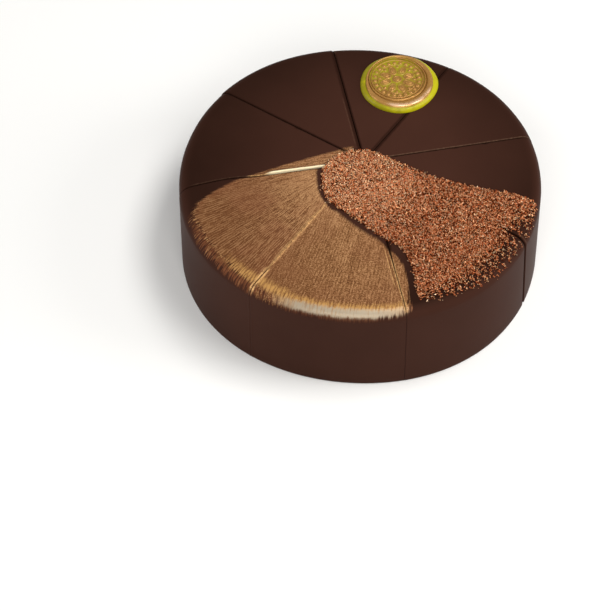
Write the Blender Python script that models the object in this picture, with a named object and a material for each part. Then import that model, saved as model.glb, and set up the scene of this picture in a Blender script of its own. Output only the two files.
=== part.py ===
"""A round chocolate torte, cut through into eight slices that keep the whole's shape.

Every slice is a solid of its own, parted from its neighbours by the knife's gap. A drift of
fine crumbs lies over the front right, bronze is brushed over the front left, and a pressed
chocolate seal lies at the back. Metres, +Z up. The origin is the middle of the underside,
and the cake's front looks along -Y.
"""
import math
import random

import bmesh
import bpy
from mathutils import Vector
from mathutils.geometry import delaunay_2d_cdt

MM = 0.001

# The cake: the glaze rolls over the rim in a quarter circle and turns in a little at the foot.
CAKE_RADIUS = 110 * MM
CAKE_HEIGHT = 63.4 * MM
RIM_ROLL = 6.9 * MM
FOOT_ROLL = 1.0 * MM
RIM_WAVES = ((2, -44, 0.0029), (4, 39, 0.0077))  # waves, where one peaks in degrees, share of radius

# The cuts: four straight ones, right across, that meet a little behind the middle.
# Each slice has slipped out from the middle a little, by its own amount.
SLICE_SLIPS = {
    "slice_back_right": 0.2 * MM, "slice_back": 0.1 * MM,
    "slice_back_left": 0.6 * MM, "slice_left": 0.0 * MM,
    "slice_front_left": 0.2 * MM, "slice_front": 0.1 * MM,
    "slice_front_right": 0.3 * MM, "slice_right": 0.1 * MM,
}
CUT_CENTRE = Vector((2.4, 12.5)) * MM
FIRST_CUT = 12.5  # degrees from +X, towards +Y
KNIFE_GAP = 0.6 * MM

# The crumb drift: a round head near the middle, and a tail that widens out over the rim.
DRIFT_HEAD = Vector((0, -2.5)) * MM
DRIFT_HEAD_RADIUS = 23.6 * MM
DRIFT_HEAD_ARC = (52, 193, 28)  # degrees: from, up to, and between its knots
DRIFT_INNER_SIDE = (
    (-18.6, -20.4), (-5.1, -32.6), (9.4, -45.1), (24.0, -56.5), (30.0, -67.0), (32.6, -79.0), (34.4, -92.0),
)
DRIFT_RIM = ((-69, 104.0), (-61, 106.3), (-52, 107.2), (-43, 108.0), (-32, 108.8), (-20, 109.2), (-12, 107.8))
DRIFT_OUTER_SIDE = ((104.0, -16.4), (92.9, -12.3), (79.1, -9.9), (60.0, -5.0), (43.6, 0.7), (26.6, 9.0))
CRUMB_PITCH = 1.75 * MM
CRUMB_STRAY = 0.22  # how far a crumb strays from its place in the grid, as a share of the pitch
CRUMB_HEIGHT = (0.35 * MM, 1.55 * MM)
CRUMB_SEED = 8

# The brushed fan: it opens from behind the drift's head to the left and front of the rim.
FAN_SIDE = ((-4.7, 23.3), (-54.6, 3.8), (-76.6, -8.2), (-89.5, -17.0), (-98.0, -26.8))
FAN_RIM = ((-161, 106.0), (-148, 108.5), (-130, 109.0), (-106, 108.6), (-89, 108.6), (-73, 107.0))
FAN_DRIFT_SIDE = (
    (31.8, -96.5), (29.0, -80.5), (24.6, -66.0), (14.5, -54.6), (-2.3, -41.9),
    (-17.0, -26.6), (-23.8, -15.0), (-25.8, -2.0), (-24.0, 7.2),
)

# The seal: a thick round of chocolate, its ring and its flower pressed in with a stamp.
SEAL_CENTRE = Vector((22.5, 76.6)) * MM
SEAL_LIP_RADIUS = 24.3 * MM
SEAL_LIP_WAVES = ((1, -25, 1.3 * MM), (3, 20, 0.25 * MM), (5, 70, 0.2 * MM))
SEAL_LIP_HEIGHT = 2.4 * MM
SEAL_LIP_PROFILE = ((0.45, 0.97), (0.8, 0.75), (1.0, 0.35), (0.9, 0.0))  # shares of its width and height
SEAL_RING_RADII = (18.4 * MM, 22.3 * MM)
SEAL_RING_HEIGHT = 3.6 * MM
SEAL_DISC_HEIGHT = 2.0 * MM
SEAL_RELIEF = 0.8 * MM
EYE_RADIUS = 3.2 * MM
PETALS = 8
PETAL_RING = 8.3 * MM
PETAL_SIZE = (2.7 * MM, 4.0 * MM)  # half a petal's width and half its length
BEADS = 24
BEAD_RING = 14.9 * MM
BEAD_RADIUS = 1.4 * MM
SEAL_GAP = 0.3 * MM

RIM_STEPS = 15
ROLL_STEPS = 4
SEAL_STEPS = 96
SEAL_RING_STEPS = (1.9, 3.2, 4.6, 6.2, 8.3, 10.4, 12.3, 13.5, 14.9, 16.3, 18.4, 19.3, 20.4, 21.5, 22.3)

GLAZE = ("dark_glaze", (0.050, 0.020, 0.013), 0.32, 0.0)
CRUMBS = ("copper_crumbs", (0.42, 0.13, 0.06), 0.45, 0.35)
BRONZE = ("brushed_bronze", (0.34, 0.18, 0.075), 0.42, 0.45)
LIME = ("lime_chocolate", (0.42, 0.40, 0.02), 0.30, 0.0)
GOLD = ("gold_bronze", (0.55, 0.27, 0.09), 0.34, 0.6)


def material(name, colour, roughness, metallic):
    """A plain finish: one colour, one roughness, one metallic value."""
    finish = bpy.data.materials.get(name)
    if finish:
        return finish
    finish = bpy.data.materials.new(name)
    finish.use_nodes = True
    shader = finish.node_tree.nodes["Principled BSDF"]
    shader.inputs["Base Color"].default_value = (*colour, 1.0)
    shader.inputs["Roughness"].default_value = roughness
    shader.inputs["Metallic"].default_value = metallic
    finish.diffuse_color = (*colour, 1.0)
    return finish


def polar(angle, radius):
    """The plan point at an angle, in degrees from +X, and a radius about the cake's axis."""
    return Vector((math.cos(math.radians(angle)), math.sin(math.radians(angle)))) * radius


def smooth_loop(knots, steps=6):
    """A closed curve through the knots, as a Catmull-Rom spline."""
    points = []
    for i in range(len(knots)):
        a, b, c, d = (knots[(i + k - 1) % len(knots)] for k in range(4))
        for step in range(steps):
            t = step / steps
            bend = (c - a) * t + (2 * a - 5 * b + 4 * c - d) * t**2 + (3 * b - a - 3 * c + d) * t**3
            points.append(b + bend / 2)
    return points


def drift_outline():
    """The edge of the crumb drift in plan."""
    head = [DRIFT_HEAD + polar(a, DRIFT_HEAD_RADIUS) for a in range(*DRIFT_HEAD_ARC)]
    inner = [Vector(p) * MM for p in DRIFT_INNER_SIDE]
    rim = [polar(a, radius * MM) for a, radius in DRIFT_RIM]
    outer = [Vector(p) * MM for p in DRIFT_OUTER_SIDE]
    return smooth_loop(head + inner + rim + outer)


def fan_outline():
    """The edge of the brushed fan in plan."""
    side = [Vector(p) * MM for p in FAN_SIDE]
    rim = [polar(a, radius * MM) for a, radius in FAN_RIM]
    drift_side = [Vector(p) * MM for p in FAN_DRIFT_SIDE]
    return smooth_loop(side + rim + drift_side)


def is_inside(point, outline):
    """Whether a point lies within a closed outline."""
    inside = False
    for a, b in zip(outline, outline[1:] + outline[:1]):
        if (a.y > point.y) != (b.y > point.y):
            if point.x < a.x + (b.x - a.x) * (point.y - a.y) / (b.y - a.y):
                inside = not inside
    return inside


def bearing(point):
    """A plan point's angle about the cake's axis, in degrees from +X."""
    return math.degrees(math.atan2(point.y, point.x))


def rim_radius(angle):
    """The cake's outline, very slightly out of round."""
    waves = (size * math.cos(math.radians(count * (angle - peak))) for count, peak, size in RIM_WAVES)
    return CAKE_RADIUS * (1 + sum(waves))


def inset(point):
    """How far inside the rim a point lies in plan."""
    return rim_radius(bearing(point)) - point.length


def on_glaze(point, lift=0.0, upright=False):
    """A plan point raised on to the glaze, and then lifted off it along its normal."""
    lean = max(0.0, 1 - inset(point) / RIM_ROLL)
    rise = math.sqrt(max(0.0, 1 - lean**2))
    height = CAKE_HEIGHT - RIM_ROLL * (1 - rise)
    if upright:
        return Vector((point.x, point.y, height + lift))
    outward = point.normalized() * lean
    return Vector((point.x + outward.x * lift, point.y + outward.y * lift, height + rise * lift))


def reach(start, direction, depth):
    """The point where a line from start comes to the given depth inside the rim."""
    near, far = 0.0, 2 * CAKE_RADIUS
    for _ in range(40):
        middle = (near + far) / 2
        if inset(start + direction * middle) > depth:
            near = middle
        else:
            far = middle
    return start + direction * near


class Slice:
    """One slice in plan: its tip, its two cut sides, and what lies on it."""

    def __init__(self, index, drift, fan, chance):
        turn = 360 / len(SLICE_SLIPS)
        start = FIRST_CUT + index * turn
        self.middle = start + turn / 2
        setback = KNIFE_GAP / 2 / math.sin(math.radians(turn / 2))
        self.tip = CUT_CENTRE + polar(self.middle, setback)
        self.sides = [polar(start, 1), polar(start + turn, 1)]
        self.drift = drift
        self.fan = fan
        self.chance = chance
        self.points = []
        self.heights = []
        self.edges = []

    def clearance(self, point):
        """How far a point lies inside the nearer cut side."""
        offset = point - self.tip
        first, second = self.sides
        return min(first.x * offset.y - first.y * offset.x, second.y * offset.x - second.x * offset.y)

    def add(self, point, crumb=False, on_side=False):
        """Take in a point, and where it goes on the glaze, or on a crumb of a random height."""
        lift = self.chance.uniform(*CRUMB_HEIGHT) if crumb else 0.0
        self.points.append(point)
        self.heights.append(on_glaze(point, lift, upright=on_side))

    def side_points(self, direction):
        """Points out along a cut side: across the drift and a step past its edge, then down the roll."""
        roll = [reach(self.tip, direction, depth) for depth in roll_depths()]
        count = int((roll[-1] - self.tip).length / CRUMB_PITCH)
        steps = [self.tip + direction * CRUMB_PITCH * k for k in range(count + 1)]
        covered = [is_inside(step, self.drift) for step in steps]
        crumbs = [steps[k] for k in range(1, count) if any(covered[k - 1:k + 2])]
        return crumbs + roll[::-1]

    def trace_boundary(self):
        """The slice's outline, counter-clockwise from the tip."""
        first, second = (self.side_points(direction) for direction in self.sides)
        start, end = bearing(first[-1]), bearing(second[-1])
        if end < start:
            end += 360
        self.rim_bearings = [start + (end - start) * k / RIM_STEPS for k in range(1, RIM_STEPS)]
        for point in [self.tip] + first:
            self.add(point, crumb=self.carries_crumb(point), on_side=True)
        for angle in self.rim_bearings:
            self.add(polar(angle, rim_radius(angle)))
        for point in reversed(second):
            self.add(point, crumb=self.carries_crumb(point), on_side=True)
        count = len(self.points)
        self.edges += [(i, (i + 1) % count) for i in range(count)]

    def carries_crumb(self, point):
        return inset(point) > CRUMB_PITCH / 2 and is_inside(point, self.drift)

    def fill_roll(self):
        """Rings of points round the rolled rim."""
        for depth in roll_depths()[1:]:
            for angle in self.rim_bearings:
                point = polar(angle, rim_radius(angle) - depth)
                if not is_inside(point, self.drift):
                    self.add(point)

    def follow(self, outline, least_inset):
        """Points and edges along the stretches of an outline that cross the slice."""
        previous = None
        for point in outline + outline[:1]:
            clear = self.clearance(point) > KNIFE_GAP / 2 and inset(point) > least_inset
            if clear:
                self.add(point)
                if previous is not None:
                    self.edges.append((previous, len(self.points) - 1))
            previous = len(self.points) - 1 if clear else None

    def scatter_crumbs(self):
        """A jittered grid of crumb tops and hollows within the drift."""
        row_step = CRUMB_PITCH * math.sqrt(3) / 2
        rows = int(2 * CAKE_RADIUS / row_step)
        for row in range(rows):
            for column in range(int(2 * CAKE_RADIUS / CRUMB_PITCH)):
                x = (column + row % 2 / 2) * CRUMB_PITCH - CAKE_RADIUS
                y = row * row_step - CAKE_RADIUS
                stray = Vector((self.chance.uniform(-1, 1), self.chance.uniform(-1, 1)))
                point = Vector((x, y)) + stray * CRUMB_PITCH * CRUMB_STRAY
                if self.clearance(point) < CRUMB_PITCH / 2 or not self.carries_crumb(point):
                    continue
                if min((point - p).length for p in self.drift) > CRUMB_PITCH / 2:
                    self.add(point, crumb=True)


def roll_depths():
    """How far in from the rim the rings of the roll lie, from the wall to the flat top."""
    angles = [math.pi / 2 * k / ROLL_STEPS for k in range(ROLL_STEPS + 1)]
    return [RIM_ROLL * (1 - math.cos(angle)) for angle in angles]


def slice_mesh(plan):
    """The solid of one slice: its top from the plan's points, its walls and its underside."""
    points, _, faces, origins, _, _ = delaunay_2d_cdt(plan.points, plan.edges, [], 1, 1e-7)
    mesh = bmesh.new()
    top = [
        mesh.verts.new(plan.heights[origin[0]] if origin else on_glaze(point))
        for point, origin in zip(points, origins)
    ]
    for face in faces:
        middle = sum((points[i] for i in face), Vector((0, 0))) / len(face)
        flat = mesh.faces.new([top[i] for i in face])
        if is_inside(middle, plan.drift):
            flat.material_index = 1
        elif is_inside(middle, plan.fan) and inset(middle) > roll_depths()[1]:
            flat.material_index = 2
    extrude_down(mesh, [edge for edge in mesh.edges if edge.is_boundary])
    bmesh.ops.recalc_face_normals(mesh, faces=mesh.faces)
    return mesh


def extrude_down(mesh, border):
    """Walls from the top's border to the foot, the rolled foot, and the flat underside."""
    for height in (FOOT_ROLL, 0.0):
        grown = bmesh.ops.extrude_edge_only(mesh, edges=border)["geom"]
        border = [item for item in grown if isinstance(item, bmesh.types.BMEdge)]
        corners = [item for item in grown if isinstance(item, bmesh.types.BMVert)]
        for corner in corners:
            corner.co.z = height
    for corner in corners:
        plan = corner.co.xy
        if inset(plan) < FOOT_ROLL / 2:
            corner.co.xy = plan.normalized() * (plan.length - FOOT_ROLL)
    bmesh.ops.contextual_create(mesh, geom=border)


def place(mesh, name, finishes, sharp_angle, location=(0, 0, 0)):
    """Turn a bmesh into a smooth-shaded object with its finishes, at its place."""
    data = bpy.data.meshes.new(name)
    mesh.to_mesh(data)
    mesh.free()
    for finish in finishes:
        data.materials.append(material(*finish))
    data.shade_smooth()
    data.set_sharp_from_angle(angle=math.radians(sharp_angle))
    thing = bpy.data.objects.new(name, data)
    thing.location = location
    bpy.context.scene.collection.objects.link(thing)


def make_slices():
    """The eight slices, counter-clockwise from the first cut."""
    drift, fan = drift_outline(), fan_outline()
    chance = random.Random(CRUMB_SEED)
    for index, (name, slip) in enumerate(SLICE_SLIPS.items()):
        plan = Slice(index, drift, fan, chance)
        plan.trace_boundary()
        plan.fill_roll()
        plan.follow(drift, least_inset=CRUMB_PITCH / 2)
        plan.follow(fan, least_inset=RIM_ROLL)
        plan.scatter_crumbs()
        outward = polar(plan.middle, slip).to_3d()
        place(slice_mesh(plan), name, (GLAZE, CRUMBS, BRONZE), sharp_angle=35, location=outward)


def hump(distance, width):
    """A round hump: 1 at its middle, 0 at its width and beyond."""
    share = min(1.0, abs(distance) / width)
    return math.sqrt(1 - share**2)


def ring_of_humps(radius, angle, count, ring_radius, width, length):
    """Humps, evenly spaced on a ring, with a half-width along the ring and a half-length across it."""
    turn = (angle * count / 360) % 1 - 0.5
    aside = math.radians(turn * 360 / count) * radius
    return hump(math.hypot(aside / width, (radius - ring_radius) / length), 1.0)


def seal_flower(radius, angle):
    """The stamped flower and the ring of beads round it, from 0 to 1."""
    return max(
        hump(radius, EYE_RADIUS),
        ring_of_humps(radius, angle, PETALS, PETAL_RING, *PETAL_SIZE),
        ring_of_humps(radius, angle, BEADS, BEAD_RING, BEAD_RADIUS, BEAD_RADIUS),
    )


def seal_lip(angle):
    """The seal's outline: the chocolate was pressed out further on one side."""
    waves = (size * math.cos(math.radians(count * (angle - peak))) for count, peak, size in SEAL_LIP_WAVES)
    return SEAL_LIP_RADIUS + sum(waves)


def seal_top(radius, angle):
    """The height of the seal's pressed face."""
    inner, outer = SEAL_RING_RADII
    if radius < inner:
        return SEAL_DISC_HEIGHT + SEAL_RELIEF * seal_flower(radius, angle)
    crest = hump(radius - (inner + outer) / 2, (outer - inner) / 2)
    base = SEAL_DISC_HEIGHT if radius < (inner + outer) / 2 else SEAL_LIP_HEIGHT
    return base + (SEAL_RING_HEIGHT - base) * crest


def seal_profile(angle):
    """Radius and height from near the seal's middle, over the ring, and down the lip, at one angle."""
    face = [(radius * MM, seal_top(radius * MM, angle)) for radius in SEAL_RING_STEPS]
    start, end = SEAL_RING_RADII[1], seal_lip(angle)
    lip = [(start + (end - start) * share, SEAL_LIP_HEIGHT * rise) for share, rise in SEAL_LIP_PROFILE]
    return face + lip


def make_seal():
    """The pressed seal, resting on the two back slices."""
    mesh = bmesh.new()
    angles = [360 * step / SEAL_STEPS for step in range(SEAL_STEPS)]
    spokes = [
        [mesh.verts.new((*polar(angle, radius), height)) for radius, height in seal_profile(angle)]
        for angle in angles
    ]
    middle = mesh.verts.new((0, 0, seal_top(0.0, 0.0)))
    for spoke, following in zip(spokes, spokes[1:] + spokes[:1]):
        mesh.faces.new((middle, spoke[0], following[0])).material_index = 1
        for k in range(len(spoke) - 1):
            face = mesh.faces.new((spoke[k], spoke[k + 1], following[k + 1], following[k]))
            face.material_index = 1 if k < len(SEAL_RING_STEPS) - 1 else 0
    mesh.faces.new([spoke[-1] for spoke in reversed(spokes)])
    rest = (*SEAL_CENTRE, CAKE_HEIGHT + SEAL_GAP)
    place(mesh, "chocolate_seal", (LIME, GOLD), sharp_angle=60, location=rest)


for leftover in list(bpy.data.objects):
    bpy.data.objects.remove(leftover)
make_slices()
make_seal()
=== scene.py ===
import math
from types import SimpleNamespace

import bpy
import numpy as np
from mathutils import Matrix, Vector


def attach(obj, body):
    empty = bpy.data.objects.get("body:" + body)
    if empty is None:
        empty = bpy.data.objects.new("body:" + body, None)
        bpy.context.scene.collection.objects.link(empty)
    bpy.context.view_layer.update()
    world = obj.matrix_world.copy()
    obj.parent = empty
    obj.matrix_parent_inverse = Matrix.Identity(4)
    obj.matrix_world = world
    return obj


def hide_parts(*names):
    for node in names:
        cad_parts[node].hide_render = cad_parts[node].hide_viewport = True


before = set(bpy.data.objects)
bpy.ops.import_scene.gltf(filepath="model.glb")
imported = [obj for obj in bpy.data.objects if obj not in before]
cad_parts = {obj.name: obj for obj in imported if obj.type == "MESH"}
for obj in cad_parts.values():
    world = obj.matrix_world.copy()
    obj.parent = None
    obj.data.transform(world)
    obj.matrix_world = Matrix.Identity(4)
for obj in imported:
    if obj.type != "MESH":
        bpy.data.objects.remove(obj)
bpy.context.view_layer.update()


# ----------------------------------------------------------------------
# The eight slices. The cake is coated with dark glaze, which rolls over the rim and runs down to the
# foot, and a warm knife then cuts it right across four times. The slices still stand together, each
# slipped out from the middle by its own hair's breadth. Lengths are in millimetres.

MM = 0.001
CAKE_RADIUS = 110.0
CAKE_HEIGHT = 63.4
RIM_ROLL = 6.9
FOOT_ROLL = 1.0
RIM = (CAKE_RADIUS, ((2, -44, 0.319), (4, 39, 0.847)))  # mean radius; waves, where one peaks, height
SLICE_SLIPS = {  # how far each slice has slipped out from the middle
    "back_right": 0.2, "back": 0.1, "back_left": 0.6, "left": 0.0,
    "front_left": 0.15, "front": 0.15, "front_right": 0.2, "right": 0.1,
}
SLICE_TURN = 360 / len(SLICE_SLIPS)
CUT_CENTRE = np.array((2.4, 12.5))
FIRST_CUT = 12.5  # degrees from +X; the cuts are counted counter-clockwise from this one, on the right
KNIFE_GAP = 0.6  # between slices as they are laid out, before their glaze moves towards the cut

# Where the crumbs lie and where the bronze was brushed. Outlines are knots in plan, except that a
# knot on the rim is an angle and a radius.
DRIFT_HEAD = np.array((0.0, -2.5))
DRIFT_HEAD_RADIUS = 23.6
DRIFT_HEAD_ARC = (52, 193, 28)  # degrees: from, up to, and between its knots
DRIFT_INNER_SIDE = (
    (-18.6, -20.4), (-5.1, -32.6), (9.4, -45.1), (24.0, -56.5), (30.0, -67.0), (32.6, -79.0), (34.4, -92.0),
)
DRIFT_RIM = (
    (-68, 104.3), (-60, 106.7), (-54, 108.4), (-48, 109.5),
    (-41, 110.0), (-31, 109.6), (-20, 108.8), (-12, 107.2),
)
DRIFT_OUTER_SIDE = ((103.0, -17.4), (92.7, -12.9), (79.1, -9.9), (60.0, -5.0), (43.6, 0.7), (26.6, 9.0))
FAN_SIDE = ((-4.7, 23.3), (-54.6, 3.8), (-76.6, -8.2), (-89.5, -17.0), (-98.0, -26.8))
FAN_RIM = (
    (-161, 106.6), (-148, 109.0), (-130, 109.4), (-117, 109.0), (-103, 108.1), (-89, 108.4), (-75, 107.4),
)
FAN_DRIFT_SIDE = (
    (29.6, -97.5), (28.6, -80.5), (24.6, -66.0), (14.5, -54.6), (-2.3, -41.9),
    (-17.0, -26.6), (-23.8, -15.0), (-25.8, -2.0), (-24.0, 7.2),
)

# How the knife left each cut: half its gap at places along the top, half its gap and its rounding
# down the wall, and how far the glaze rounds over on its clockwise and its counter-clockwise side.
CUTS = (
    (((0, 0.16), (120, 0.16)), (0.04, 0.12), (0.45, 0.30)),
    (((0, 0.14), (45, 0.08), (120, 0.08)), (0.04, 0.12), (2.00, 1.60)),
    (((0, 0.12), (40, 0.07), (120, 0.04)), (0.04, 0.12), (1.00, 1.90)),
    (((0, 0.14), (120, 0.12)), (0.04, 0.12), (0.80, 0.70)),
    (((0, 0.40), (40, 0.30), (58, 0.08), (64, 0.08), (72, 0.16), (120, 0.16)), (0.05, 0.12), (0.30, 0.90)),
    (((0, 0.01), (100, 0.01), (105, 0.12), (120, 0.10)), (-0.03, 0.03), (0.12, 0.12)),
    (((0, 0.24), (80, 0.18), (92, 0.07), (112, 0.06), (118, 0.05)), (0.01, 0.04), (0.30, 0.30)),
    (((0, 0.34), (120, 0.34)), (0.80, 0.90), (0.60, 0.60)),
)
BURRS = (  # cut, side, from and to along it, how high, how far aside, how broad, how strong its painted highlight is
    (0, 1, 14, 116, 0.16, 0.34, 0.34, 0.50),
    (2, 1, 14, 52, 0.06, 2.10, 0.25, 0.22), (2, -1, 92, 124, 0.06, 0.50, 0.30, 0.30),
    (4, -1, 58, 72, 0.20, 0.20, 0.34, 0.80), (4, -1, 70, 106, 0.08, 0.34, 0.30, 0.18),
    (5, -1, 34, 104, 0.20, 0.0, 0.45, 0.80), (5, 1, 34, 104, 0.20, 0.0, 0.45, 0.80),
    (5, -1, 50, 96, 0.25, 0.0, 1.20, 0.62), (5, 1, 50, 96, 0.25, 0.0, 1.00, 0.62),
    (5, -1, 103, 126, 0.20, 0.75, 0.50, 1.4), (5, 1, 103, 126, 0.20, 0.75, 0.50, 1.4),
    (7, -1, 111, 126, 0.06, 1.15, 0.30, 0.40), (7, 1, 108, 126, 0.06, 1.20, 0.35, 0.45),
    (6, -1, 76, 120, 0.14, 0.36, 0.34, 0.85), (6, 1, 80, 120, 0.14, 0.36, 0.34, 0.75),
)
SCORES = ((6, -1, 71, 100, 1.75, 0.6),)  # cut, side, from and to along it, how far aside, how deep
CHIPS = (  # cut, side, where along it, half its length, how far into the glaze
    (3, 1, 48.7, 1.3, 0.9), (3, 1, 101.0, 2.2, 2.2), (3, -1, 101.0, 1.6, 1.2),
    (0, -1, 56.6, 1.4, 0.8), (0, -1, 75.0, 1.6, 0.9), (6, -1, 69.0, 3.0, 1.8), (6, 1, 69.0, 4.5, 1.5),
    (7, -1, 112.0, 2.5, 1.6), (4, 1, 30.0, 5.0, 0.6),
)
CREAM_EDGES = ((4, -1, 24, 59, 1.10, 0.8),)  # cut, side, from and to along it, how proud, how broad
SEAM_BOWS = (  # cut, where along it, how long and how wide the bow is, how far it goes clockwise
    (4, 84.0, 14.0, 8.0, 1.4), (4, 117.0, 9.0, 9.0, -2.4),
)
SEAM_LEAN = (-25.0, 12.0, 2.5)  # where, how broad and how much the slices lean along the wall, in degrees
STRIPS = (0, 0.08, 0.18, 0.3, 0.45, 0.65, 0.9, 1.2, 1.5, 1.75, 2.0, 2.25, 2.6, 3.0)
FACE_DEPTHS = (2.0, 1.1, 0.5)
ASIDE = np.array((0,) * len(FACE_DEPTHS) + STRIPS)  # how far from a cut the lines beside it lie
DEEP = np.array(FACE_DEPTHS + (0,) * len(STRIPS))  # how far down its face
FAN_COLUMNS = 72  # lines between those beside a slice's two cuts
FLAT_ROWS = 96
ROLL_ROWS = 14
WALL_ROWS = 16
FOOT_ROWS = 4
RIPPLE = 0.09
RIPPLE_LENGTHS = (61.0, 43.0, 29.0, 19.0)
BED_HEIGHT = 0.45  # of the layer of glaze and crumbs that the loose crumbs lie on
SHARP_ANGLE = 50  # degrees between faces, from which an edge is sharp


def polar(angle, radius):
    """Plan points at angles, in degrees from +X, and radii about the cake's axis."""
    turn = np.radians(angle)
    return np.stack([np.cos(turn) * radius, np.sin(turn) * radius], axis=-1)


def cut_axes(cut):
    """Unit directions out along a cut, and square to it on its counter-clockwise side."""
    heading = FIRST_CUT + cut * SLICE_TURN
    return polar(heading, 1.0), polar(heading + 90, 1.0)


def wavy(edge, angle):
    """The radius, at an angle, of an edge that is a little out of round."""
    mean, waves = edge
    return mean + sum(size * np.cos(np.radians(count * (angle - peak))) for count, peak, size in waves)


def inset(points):
    """How far inside the rim plan points lie."""
    bearing = np.degrees(np.arctan2(points[..., 1], points[..., 0]))
    return wavy(RIM, bearing) - np.linalg.norm(points, axis=-1)


def outward(points):
    """Unit directions from the cake's axis to plan points."""
    return points / np.maximum(np.linalg.norm(points, axis=-1, keepdims=True), 1e-6)


def onto_glaze(points):
    """Plan points raised onto the glaze, and the glaze's normals there."""
    lean = np.clip(1 - inset(points) / RIM_ROLL, 0, 1)[..., None]
    rise = np.sqrt(1 - lean**2)
    places = np.concatenate([points, CAKE_HEIGHT - RIM_ROLL * (1 - rise)], axis=-1)
    return places, np.concatenate([outward(points) * lean, rise], axis=-1)


def distance_to_rim(starts, directions, depth):
    """How far lines run from their starts until they come to a depth inside the rim."""
    near, far = np.zeros(len(starts)), np.full(len(starts), 2 * CAKE_RADIUS)
    for _ in range(40):
        middle = (near + far) / 2
        inside = inset(starts + directions * middle[:, None]) > depth
        near, far = np.where(inside, middle, near), np.where(inside, far, middle)
    return near


def smooth_loop(knots, steps=8):
    """A closed Catmull-Rom curve through the knots."""
    a, b, c, d = (np.roll(knots, 1 - k, axis=0)[:, None] for k in range(4))
    t = (np.arange(steps) / steps)[None, :, None]
    bend = (c - a) * t + (2 * a - 5 * b + 4 * c - d) * t**2 + (3 * b - a - 3 * c + d) * t**3
    return (b + bend / 2).reshape(-1, 2)


def past_edge(points, below=0.0):
    """How far past the top's flat part points lie, along the roll and down the wall."""
    lean = np.clip(1 - inset(points) / RIM_ROLL, 0, 1)
    return RIM_ROLL * (1 + np.arcsin(lean) - lean) - inset(points) + below


def unroll(points, below=0.0):
    """Plan points laid flat, so that the roll and the wall count by their true length."""
    grown = past_edge(points, below) - (RIM_ROLL - inset(points))
    return points + outward(points) * grown[..., None]


def reach_inside(points, outline):
    """Signed distance from points to a closed outline: above 0 inside it."""
    starts, ends = outline, np.roll(outline, -1, axis=0)
    nearest, inside = np.full(len(points), np.inf), np.zeros(len(points), bool)
    for start, end in zip(starts, ends):
        along, offset = end - start, points - start
        share = np.clip(offset @ along / (along @ along), 0, 1)
        nearest = np.minimum(nearest, np.linalg.norm(offset - share[:, None] * along, axis=1))
        crosses = (start[1] > points[:, 1]) != (end[1] > points[:, 1])
        if along[1]:
            level = start[0] + along[0] * (points[:, 1] - start[1]) / along[1]
            inside ^= crosses & (points[:, 0] < level)
    return np.where(inside, nearest, -nearest)


def ripple(points, seed=3):
    """An unevenness from -1 to 1, of a few crossing waves."""
    chance = np.random.default_rng(seed)
    total = 0
    for length in RIPPLE_LENGTHS:
        direction = chance.normal(size=3)
        phase = chance.uniform(0, 2 * np.pi)
        total = total + np.sin(points @ direction / np.linalg.norm(direction) * 2 * np.pi / length + phase)
    return total / len(RIPPLE_LENGTHS)


def at_height(points, height):
    """Plan points, or directions, at one height."""
    return np.column_stack([points, np.full(len(points), height)])


def patches(points, fineness):
    """A ripple over plan points, as many times as fine."""
    return ripple(at_height(points * fineness, 0.0), seed=5)


DRIFT = unroll(smooth_loop(np.concatenate([
    DRIFT_HEAD + polar(np.arange(*DRIFT_HEAD_ARC), DRIFT_HEAD_RADIUS),
    DRIFT_INNER_SIDE, polar(*zip(*DRIFT_RIM)), DRIFT_OUTER_SIDE,
])))
FAN = unroll(smooth_loop(np.concatenate([FAN_SIDE, polar(*zip(*FAN_RIM)), FAN_DRIFT_SIDE])))

CRUMB_FADE = (-0.7, 1.0)  # how far inside the drift's outline the first crumbs lie, and the full cover
BALD_RIM = (-76, -16)  # degrees
BALD_DEPTHS = (19.0, 6.0)  # how far in from the rim the crumbs begin to thin out, and have done so
BALD_SHARES = (0.84, 1.2, 0.98)  # the crumbs that fell away there: on average, how patchily, at most
BALD_CUT = (7, 107.0, 4.6, 0.92)  # cut, where along it, how far to its sides, the share that fell away


def smooth_step(low, high, value):
    """0 up to low, 1 from high on, and an even curve between."""
    share = np.clip((value - low) / (high - low), 0, 1)
    return share * share * (3 - 2 * share)


def crumb_cover(points, reach):
    """How thickly crumbs cover plan points, from 0 to 1, thinner along the front rim and by a cut."""
    cover = smooth_step(*CRUMB_FADE, reach)
    start, end = BALD_RIM
    bearing = np.degrees(np.arctan2(points[:, 1], points[:, 0]))
    at_rim = smooth_step(start - 6, start + 6, bearing) * smooth_step(end + 6, end - 6, bearing)
    mean, patchy, most = BALD_SHARES
    bald = np.clip(mean + patchy * patches(points, 12.0), 0, most)
    cover = cover * (1 - bald * at_rim * smooth_step(*BALD_DEPTHS, inset(points)))
    cut, begin, width, fallen = BALD_CUT
    offset, (along, left) = points - CUT_CENTRE, cut_axes(cut)
    beside = smooth_step(width, 0.6, np.abs(offset @ left))
    return cover * (1 - fallen * beside * smooth_step(begin - 12, begin + 4, offset @ along))


def bell(offset, width):
    """A bell curve: 1 at no offset, about a third at its width."""
    return np.exp(-((offset / width) ** 2))


def stretch(along, start, end):
    """1 along a stretch of a cut, easing to 0 over its ends."""
    return smooth_step(start - 2, start + 2, along) * smooth_step(end + 3, end - 3, along)


def on_side(table, cut, side):
    """The rows that a table has for one side of a cut."""
    return [row[2:] for row in table if row[:2] == (cut, side)]


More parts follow.
